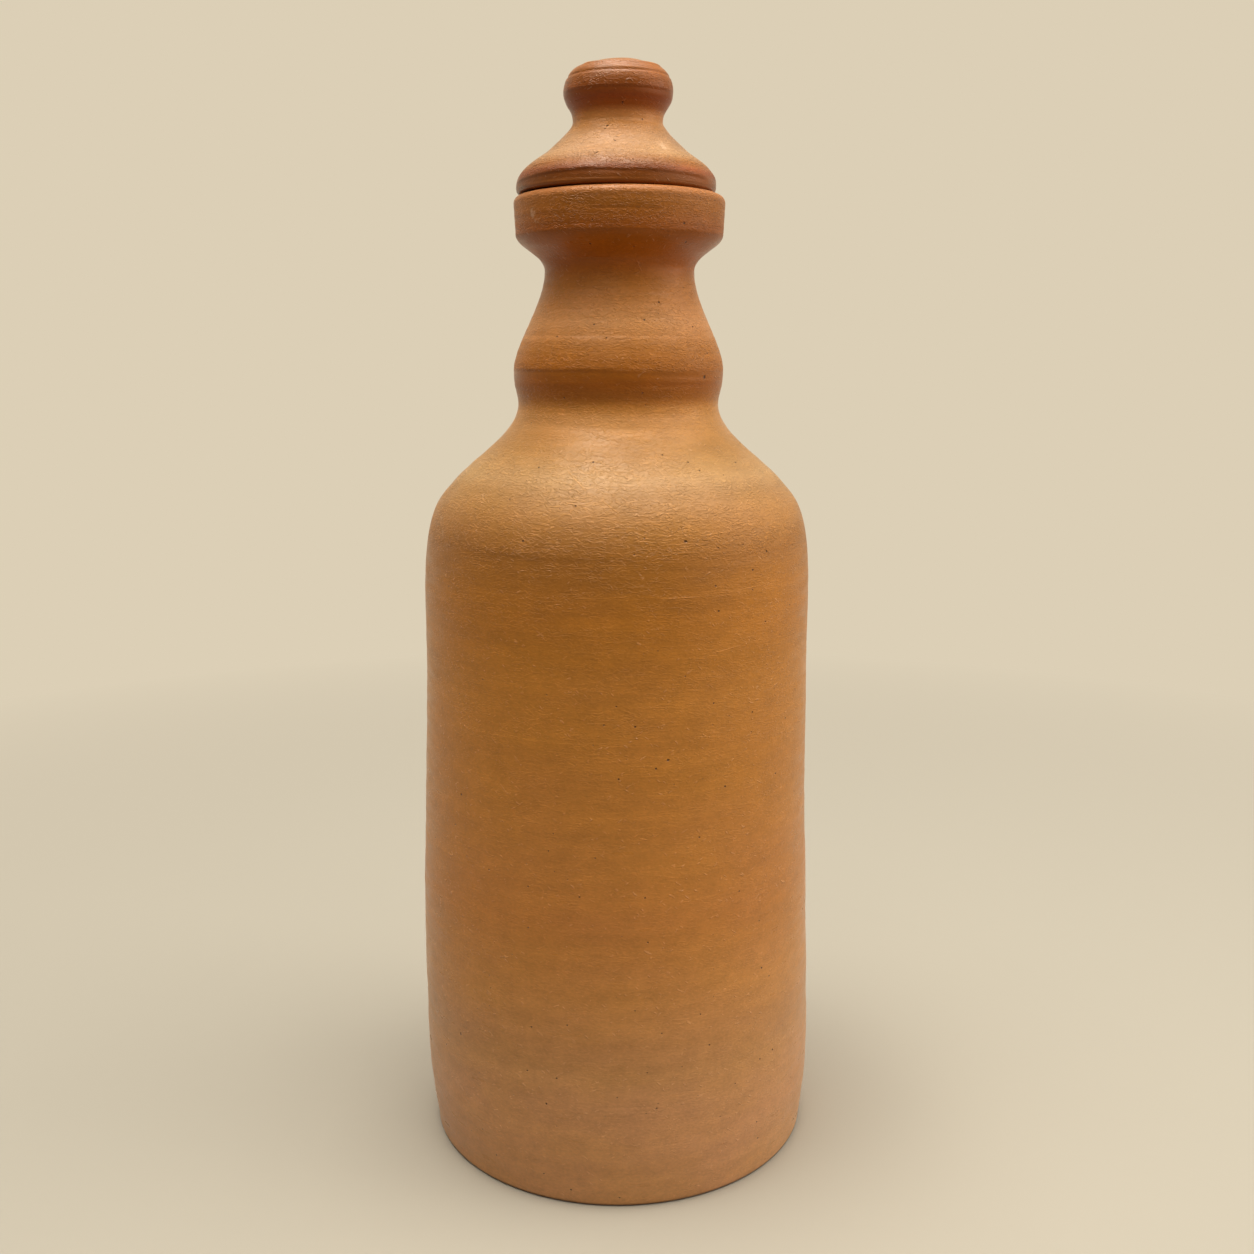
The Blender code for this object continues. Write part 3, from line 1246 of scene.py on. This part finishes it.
    def clay(self) -> FiredClay:
        """The bottle's finish."""
        return FiredClay(
            slot=Slot.BOTTLE_CLAY,
            # The colour by height carries part of the light and shade as well as the clay's own tone, and
            # is paler towards the foot.
            body=(
                # Painted contact shadow along the foot's lower edge.
                (0.0000, tone(96, 56, 36)),
                (0.0008, tone(222, 158, 100)),
                (0.0200, tone(215, 152, 97)),
                (0.0360, tone(203, 143, 87)),
                (0.0565, tone(207, 139, 71)),
                (0.0745, tone(200, 128, 60)),
                (0.0940, tone(201, 130, 58)),
                (0.1110, tone(199, 128, 53)),
                (0.1305, tone(198, 127, 49)),
                (0.1490, tone(189, 118, 40)),
                (0.1630, tone(164, 103, 38)),
                (0.1695, tone(170, 114, 54)),
                (0.1760, tone(161, 114, 61)),
                # Paler where the shoulder's highlight falls: partly painted highlight.
                (0.1800, tone(174, 130, 78)),
                (0.1866, tone(163, 112, 54)),
                (0.1934, tone(192, 131, 67)),
                (0.1957, tone(203, 134, 60)),
                # Painted shade under the bulb.
                (0.1980, tone(174, 104, 32)),
                (0.2016, tone(157, 84, 10)),
                (0.2058, tone(165, 95, 23)),
                (0.2098, tone(167, 101, 32)),
                (0.2163, tone(200, 135, 75)),
                (0.2215, tone(194, 124, 60)),
                (0.2262, tone(183, 109, 38)),
                # Painted shade in the hollow below the lip.
                (0.2304, tone(167, 85, 12)),
                (0.2350, tone(158, 82, 8)),
                (0.2383, tone(148, 75, 9)),
                (0.2438, tone(166, 96, 25)),
                (0.2480, tone(158, 96, 46)),
            ),
            coarse=(
                (0.000, 0.15),
                (0.100, 0.2),
                (0.150, 0.35),
                (0.162, 0.45),
                (0.164, 1.0),
                (0.180, 0.9),
                (0.188, 0.4),
                (0.198, 0.5),
                (0.2035, 0.15),
                (0.2047, 0.15),
                (0.2052, 1.0),
                (0.2127, 1.0),
                (0.2135, 0.85),
                (0.222, 0.75),
                (0.226, 0.55),
                (0.2370, 0.1),
                (0.2378, 0.9),
                (0.248, 0.9),
            ),
            blemishes=self.blemishes(),
            seed=4.0,
        )

    def build(self) -> bpy.types.Object:
        """Builds and dresses the bottle, in place of its solid in the frame.

        Returns:
            The bottle.
        """
        section = self.section()
        piece = TurnedSkin("thrown_bottle", section, self.marks(), self.leans(), self.columns).build()
        piece.data.materials.append(self.clay().make(section))
        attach(piece, Body.BOTTLE.value)
        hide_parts("bottle")
        return piece


@dataclass(frozen=True)
class Lid:
    """The turned lid: knob, dome and flange, with the spigot and the hollow under them.

    Its stations count from the flange's underside, which is where the lid rests. Fine and plain
    are the distances between two rows of the mesh where the lid shows and where it doesn't.
    """

    seat: float = 0.2479
    flange_edge: Station = Station(0.0249, 0.0018)
    dome: Station = Station(0.0177, 0.0098, -49.0, (0.38, 0.18))
    waist: Station = Station(0.0111, 0.0171, 0, (0.32, 0.16))
    knob: Station = Station(0.0135, 0.0242, 0, (0.46, 0.45))
    knob_top: Station = Station(0.0083, 0.0304, -84.0, (0.34, 0.45))
    crown_rise: float = 0.0017
    flange_round: float = 0.0010
    spigot_radius: float = 0.0210
    spigot_drop: float = 0.0065
    spigot_wall: float = 0.0040
    spigot_taper: float = 0.0008
    spigot_round: float = 0.0010
    hollow_rise: float = 0.0095
    hollow_pulls: Point = (0.55, 0.55)
    tool_width: float = 0.0003
    fine: float = 0.00026
    plain: float = 0.0009
    columns: int = 192

    def raised(self, station: Station) -> Station:
        """A station at its real height, with the lid on the bottle."""
        return replace(station, height=station.height + self.seat)

    def section(self) -> Section:
        """Draws the section from the hollow's top, down to the spigot's foot, and up to the crown.

        Returns:
            The section.
        """
        seat = self.seat
        bore = self.spigot_radius - self.spigot_taper - self.spigot_wall
        hollow = Station(0.0, seat + self.hollow_rise, -90, self.hollow_pulls)
        drawn = Section((hollow.radius, hollow.height))
        drawn.curve(Station(bore, seat), hollow, self.plain, Skin.INSIDE, down=True)
        foot = seat - self.spigot_drop + self.spigot_round
        drawn.line((bore, foot), self.plain, Skin.INSIDE)
        drawn.arc((bore + self.spigot_round, foot), self.spigot_round, 180, 270, self.fine, Skin.SEAT)
        tip = self.spigot_radius - self.spigot_taper
        drawn.line((tip - self.spigot_round, foot - self.spigot_round), self.plain / 2, Skin.SEAT)
        drawn.arc((tip - self.spigot_round, foot), self.spigot_round, -90, 0, self.fine, Skin.SEAT)
        drawn.line((self.spigot_radius, seat), self.plain / 2, Skin.SEAT)
        edge = self.raised(self.flange_edge)
        corner = (edge.radius - self.flange_round, seat + self.flange_round)
        drawn.line((corner[0], seat), self.plain / 2, Skin.SEAT)
        drawn.arc(corner, self.flange_round, -90, 0, self.fine / 2, Skin.SEAT)
        drawn.line((edge.radius, edge.height), self.fine, Skin.OUTSIDE)
        low = edge
        for high in map(self.raised, (self.dome, self.waist, self.knob, self.knob_top)):
            drawn.curve(low, high, self.fine, Skin.OUTSIDE)
            low = high
        shares = np.linspace(1, 0, Section.DRAFT_POINTS)
        crown = np.stack([low.radius * shares, low.height + self.crown_rise * (1 - shares**2)], axis=1)
        drawn.follow(crown, self.fine, Skin.OUTSIDE)
        return drawn

    def tool_line(self, turns: Point, rises: Point, **sizes: float) -> ToolLine:
        """A line of the fine tool, whose heights count from the flange's underside."""
        heights = (self.seat + rises[0], self.seat + rises[1])
        return ToolLine(turns, heights, self.tool_width, **sizes)

    def marks(self) -> list[Mark]:
        """What the potter's hands and tools left on the lid."""
        seat = self.seat
        return [
            Oval(70, 0.0001),
            Rings(seat + 0.004, seat + 0.032, 0.0016, 0.00002, 21, fade=0.002),
            Rings(seat + 0.004, seat + 0.032, 0.0045, 0.00004, 22, fade=0.002),
            self.tool_line((-180, 180), (0.0275, 0.0275), size=-0.00022),
            self.tool_line((-60, 75), (0.0299, 0.0296), size=0.00025, fade=14),
            self.tool_line((-80, 80), (0.0236, 0.0237), drop=0.00022, reach=0.0015, fade=20),
            self.tool_line((-60, 60), (0.0150, 0.0148), drop=0.0001, reach=0.002),
            self.tool_line((-80, -12), (0.0021, 0.0035), drop=0.00028, reach=0.0016, fade=12),
            self.tool_line((-24, 14), (0.0036, 0.0029), drop=0.00030, reach=0.0014, fade=8),
            self.tool_line((6, 66), (0.0033, 0.0024), drop=0.00026, reach=0.0016, fade=10),
            self.tool_line((-64, -30), (0.0052, 0.0056), drop=0.00014, reach=0.0012, fade=10),
            self.tool_line((14, 52), (0.0058, 0.0052), drop=0.00014, reach=0.0012, fade=10),
            Lump(-35, seat + 0.0040, 16, 0.0011, 0.00025),
            Lump(-2, seat + 0.0034, 12, 0.0009, -0.00012),
            Lump(22, seat + 0.0046, 14, 0.0012, 0.00025),
            Lump(48, seat + 0.0034, 12, 0.0010, 0.0002),
            Lump(100, seat + 0.0040, 20, 0.0012, 0.00025),
            Lump(150, seat + 0.0036, 14, 0.0010, -0.0002),
            Lump(-120, seat + 0.0042, 22, 0.0012, 0.0002),
        ]

    def leans(self) -> list[Lean]:
        """How the lid's centre strays: it sits a little to the left, and its knob comes back."""
        return [
            Lean(self.seat, (-0.0005, 0.0)),
            Lean(self.seat + 0.010, (-0.0001, 0.0)),
            Lean(self.seat + 0.032, (0.0003, 0.0)),
        ]

    def blemishes(self) -> Blemishes:
        """The single marks that the lid shows at the front."""
        return Blemishes(
            pits=(
                Blemish(6.0, 0.2679, 0.5, 0.5),
                Blemish(32.0, 0.2644, 0.5, 0.5),
                Blemish(-11.0, 0.2625, 0.6, 0.5, 30),
                Blemish(-13.0, 0.2617, 0.4, 0.4),
                Blemish(-13.0, 0.2552, 1.1, 0.35, 40),
                Blemish(-2.0, 0.2585, 1.0, 0.3, -30),
            ),
            scratches=(
                Blemish(35.0, 0.2722, 0.8, 0.8),
                Blemish(18.0, 0.2743, 0.7, 0.5),
                Blemish(-46.0, 0.2752, 1.0, 0.6),
                Blemish(2.0, 0.2600, 2.4, 0.5, 16),
                Blemish(-12.5, 0.2556, 1.9, 0.5, 40),
            ),
            chalk=(Blemish(38.0, 0.2575, 4.0, 3.4, 70),),
            # Painted light and shade: the dome darker at both sides, the knob's top and the flange lighter
            # on the right.
            painted_light=(
                PaintedLightPatch(-72.0, 0.2575, 27.0, 15.0, -0.22),
                PaintedLightPatch(72.0, 0.2575, 27.0, 15.0, -0.20),
                PaintedLightPatch(52.0, 0.2745, 17.0, 9.0, 0.25),
                PaintedLightPatch(52.0, 0.2512, 27.0, 8.0, 0.50),
            ),
        )

    def clay(self) -> FiredClay:
        """The lid's finish."""
        seat = self.seat
        return FiredClay(
            slot=Slot.LID_CLAY,
            # The colour by height carries part of the light and shade as well as the clay's own tone.
            body=(
                (seat - 0.0070, tone(143, 71, 22)),
                (seat + 0.0011, tone(128, 66, 10)),
                (seat + 0.0040, tone(115, 51, 4)),
                (seat + 0.0060, tone(139, 83, 26)),
                (seat + 0.0079, tone(167, 120, 72)),
                (seat + 0.0105, tone(173, 126, 79)),
                (seat + 0.0133, tone(175, 123, 73)),
                (seat + 0.0155, tone(190, 124, 58)),
                (seat + 0.0177, tone(197, 127, 66)),
                # Painted shade under the knob.
                (seat + 0.0197, tone(148, 73, 12)),
                (seat + 0.0214, tone(138, 59, 6)),
                (seat + 0.0259, tone(128, 65, 8)),
                (seat + 0.0313, tone(144, 82, 20)),
            ),
            coarse=(
                (seat - 0.007, 0.1),
                (seat + 0.0028, 0.15),
                (seat + 0.0036, 0.9),
                (seat + 0.0075, 1.0),
                (seat + 0.0130, 0.8),
                (seat + 0.0170, 0.35),
                (seat + 0.0232, 0.05),
                (seat + 0.0240, 0.5),
                (seat + 0.0275, 0.4),
                (seat + 0.0320, 0.2),
            ),
            blemishes=self.blemishes(),
            seed=9.0,
        )

    def build(self) -> bpy.types.Object:
        """Builds and dresses the lid, in place of its solid in the frame.

        Returns:
            The lid.
        """
        section = self.section()
        piece = TurnedSkin("turned_lid", section, self.marks(), self.leans(), self.columns).build()
        piece.data.materials.append(self.clay().make(section))
        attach(piece, Body.LID.value)
        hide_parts("lid")
        return piece


@dataclass(frozen=True)
class Lamp:
    """A square soft lamp, aimed at the middle of the bottle from a height and a turn in degrees."""

    name: str
    rise: float
    turn: float
    watts: float
    side: float = 0.7
    reach: float = 1.1
    aim: Place = (0.0, 0.0, 0.14)

    def build(self) -> bpy.types.Object:
        """Hangs the lamp and turns it to its aim.

        Returns:
            The lamp.
        """
        light = bpy.data.lights.new(self.name, "AREA")
        light.shape = "SQUARE"
        light.size = self.side
        light.energy = self.watts
        lamp = bpy.data.objects.new(self.name, light)
        rise = math.radians(self.rise)
        away = Vector(place_at(self.turn, math.sin(rise), math.cos(rise)))
        lamp.location = Vector(self.aim) + self.reach * away
        lamp.rotation_euler = away.to_track_quat("Z", "Y").to_euler()
        bpy.context.scene.collection.objects.link(lamp)
        return lamp


@dataclass(frozen=True)
class Studio:
    """A plain pale floor that fades into an even pale backdrop, soft lamps and the camera.

    The floor fades between two distances from the bottle's middle. The paper is dim only for the
    light that bounces off it, so that it doesn't lighten the foot too much.
    """

    floor_radius: float = 12.0
    columns: int = 96
    paper: Colour = tone(177, 167, 147)
    dim_paper: Colour = tone(150, 145, 136)
    paper_roughness: float = 0.9
    backdrop: Colour = tone(220, 207, 182)
    fade: Point = (0.16, 0.60)
    seen_rays: tuple[str, ...] = ("Is Camera Ray", "Is Glossy Ray", "Is Transmission Ray")
    sky: Colour = (1.0, 0.97, 0.92, 1.0)
    sky_strength: float = 0.02
    lens: float = 38.55
    sensor: float = 36.0
    tilt: float = 11.36
    camera_place: Place = (0.0023, -0.3514, 0.2081)
    lamps: tuple[Lamp, ...] = (
        Lamp("top_lamp", 86, -90, 7.0, side=0.5),
        Lamp("overhead_lamp", 75, 0, 3.0),
        Lamp("overhead_left_lamp", 72, -80, 2.6, side=0.45),
        Lamp("overhead_back_lamp", 75, 180, 3.4),
        Lamp("front_right_lamp", 60, 60, 2.6),
        Lamp("right_lamp", 60, 90, 4.0),
        Lamp("front_left_lamp", 60, -60, 2.7),
        Lamp("front_lamp", 40, -12, 0.85, side=0.4),
        Lamp("low_right_lamp", 20, 90, 2.9),
        Lamp("low_front_lamp", 10, 58, 1.4),
    )

    def build_floor(self) -> bpy.types.Object:
        """Lays the floor, a wide round sheet of paper.

        Returns:
            The sheet.
        """
        corners = []
        for column in range(self.columns):
            angle = math.tau * column / self.columns
            corners.append((self.floor_radius * math.cos(angle), self.floor_radius * math.sin(angle), 0.0))
        mesh = bpy.data.meshes.new("studio_floor")
        mesh.from_pydata(corners, [], [tuple(range(self.columns))])
        mesh.materials.append(self.paper_finish())
        sheet = bpy.data.objects.new("studio_floor", mesh)
        bpy.context.scene.collection.objects.link(sheet)
        return sheet

    def seen(self, bench: Bench) -> bpy.types.NodeSocket:
        """1 where the camera, a reflection or a see-through piece looks, and 0 for light that bounces."""
        path = bench.node("ShaderNodeLightPath")
        return bench.total(*(path.outputs[ray] for ray in self.seen_rays))

    def paper_finish(self) -> bpy.types.Material:
        """Makes the floor's paper: matt near the bottle, and as even as the backdrop further out.

        Returns:
            The material.
        """
        bench = Bench("studio_paper")
        shader = bench.shader
        seen = self.seen(bench)
        bench.plug(shader.inputs["Base Color"], bench.mix(seen, self.dim_paper, self.paper))
        shader.inputs["Roughness"].default_value = self.paper_roughness
        shader.inputs["Specular IOR Level"].default_value = 0.0
        glow = bench.node("ShaderNodeEmission")
        glow.inputs["Color"].default_value = self.backdrop
        away = bench.node("ShaderNodeVectorMath", operation="LENGTH")
        bench.plug(away.inputs[0], bench.place)
        far = bench.remap(away.outputs["Value"], *self.fade, 0.0, 1.0)
        blend = bench.node("ShaderNodeMixShader")
        bench.plug(blend.inputs[0], bench.product(far, seen))
        bench.plug(blend.inputs[1], shader.outputs[0])
        bench.plug(blend.inputs[2], glow.outputs[0])
        bench.plug(bench.tree.nodes["Material Output"].inputs["Surface"], blend.outputs[0])
        return bench.material

    def build_sky(self) -> None:
        """Sets the even light from all round, and the backdrop above the floor."""
        world = bpy.data.worlds.new("studio_sky")
        world.use_nodes = True
        nodes = world.node_tree.nodes
        dim = nodes["Background"]
        dim.inputs["Color"].default_value = self.sky
        dim.inputs["Strength"].default_value = self.sky_strength
        bright = nodes.new("ShaderNodeBackground")
        bright.inputs["Color"].default_value = self.backdrop
        path = nodes.new("ShaderNodeLightPath")
        blend = nodes.new("ShaderNodeMixShader")
        either = nodes.new("ShaderNodeMath")
        both = nodes.new("ShaderNodeMath")
        camera, glossy, see_through = (path.outputs[ray] for ray in self.seen_rays)
        for source, target in (
            (camera, either.inputs[0]),
            (glossy, either.inputs[1]),
            (either.outputs[0], both.inputs[0]),
            (see_through, both.inputs[1]),
            (both.outputs[0], blend.inputs[0]),
            (dim.outputs[0], blend.inputs[1]),
            (bright.outputs[0], blend.inputs[2]),
            (blend.outputs[0], nodes["World Output"].inputs["Surface"]),
        ):
            world.node_tree.links.new(source, target)
        bpy.context.scene.world = world

    def build_camera(self) -> bpy.types.Object:
        """Sets the camera at the photograph's angle.

        Returns:
            The camera.
        """
        lens = bpy.data.cameras.new("camera")
        lens.lens = self.lens
        lens.sensor_width = self.sensor
        camera = bpy.data.objects.new("camera", lens)
        camera.location = self.camera_place
        camera.rotation_euler = (math.radians(90 - self.tilt), 0.0, 0.0)
        bpy.context.scene.collection.objects.link(camera)
        bpy.context.scene.camera = camera
        return camera

    def build(self) -> None:
        """Sets up the studio."""
        self.build_floor()
        self.build_sky()
        self.build_camera()
        for lamp in self.lamps:
            lamp.build()
        bpy.context.scene.view_settings.view_transform = "Standard"


def main() -> None:
    """Builds the bottle, its lid and the studio."""
    logging.basicConfig(level=logging.INFO, format="%(message)s")
    for part in (Bottle(), Lid()):
        piece = part.build()
    Studio().build()


if __name__ == "__main__":
    main()
